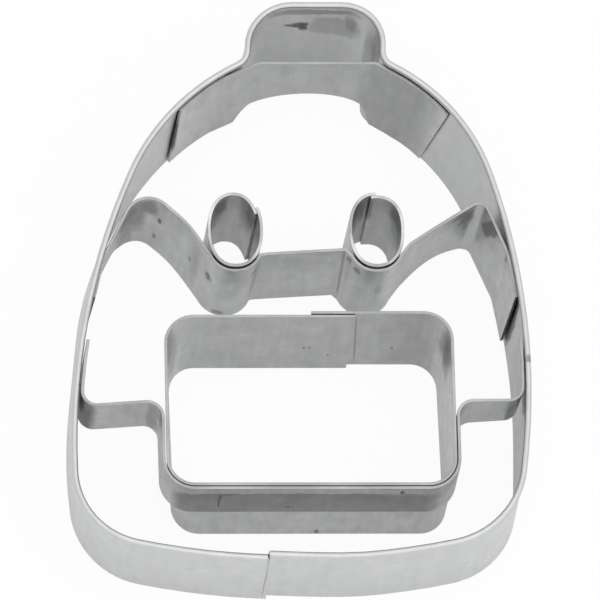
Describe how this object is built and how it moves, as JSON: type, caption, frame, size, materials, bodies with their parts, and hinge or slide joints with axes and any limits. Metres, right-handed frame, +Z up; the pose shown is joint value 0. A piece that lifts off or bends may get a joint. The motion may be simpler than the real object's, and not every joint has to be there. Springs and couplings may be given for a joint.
{
  "type": "cookie cutter",
  "caption": "Sheet-steel cookie cutter in the outline of a school backpack, with rolled rim, carrying loop, flap line, buckle rings and front pocket as inner strips.",
  "frame": {"origin": "middle of the footprint, on the table under the cutting edge", "axes": "+X to the right seen from the front, +Y from the front of the backpack towards its carrying loop, +Z up from the cutting edge to the rolled rim"},
  "size_m": [0.058, 0.0748, 0.018],
  "materials": {
    "steel_sheet": "bright rolled stainless sheet, smooth, satin reflections"
  },
  "bodies": {
    "root": {"outer_band": "steel_sheet", "neck_strip": "steel_sheet", "left_buckle_ring": "steel_sheet", "right_buckle_ring": "steel_sheet", "flap_strip": "steel_sheet", "pocket_ring": "steel_sheet", "cradle_strip": "steel_sheet"}
  },
  "joints": []
}
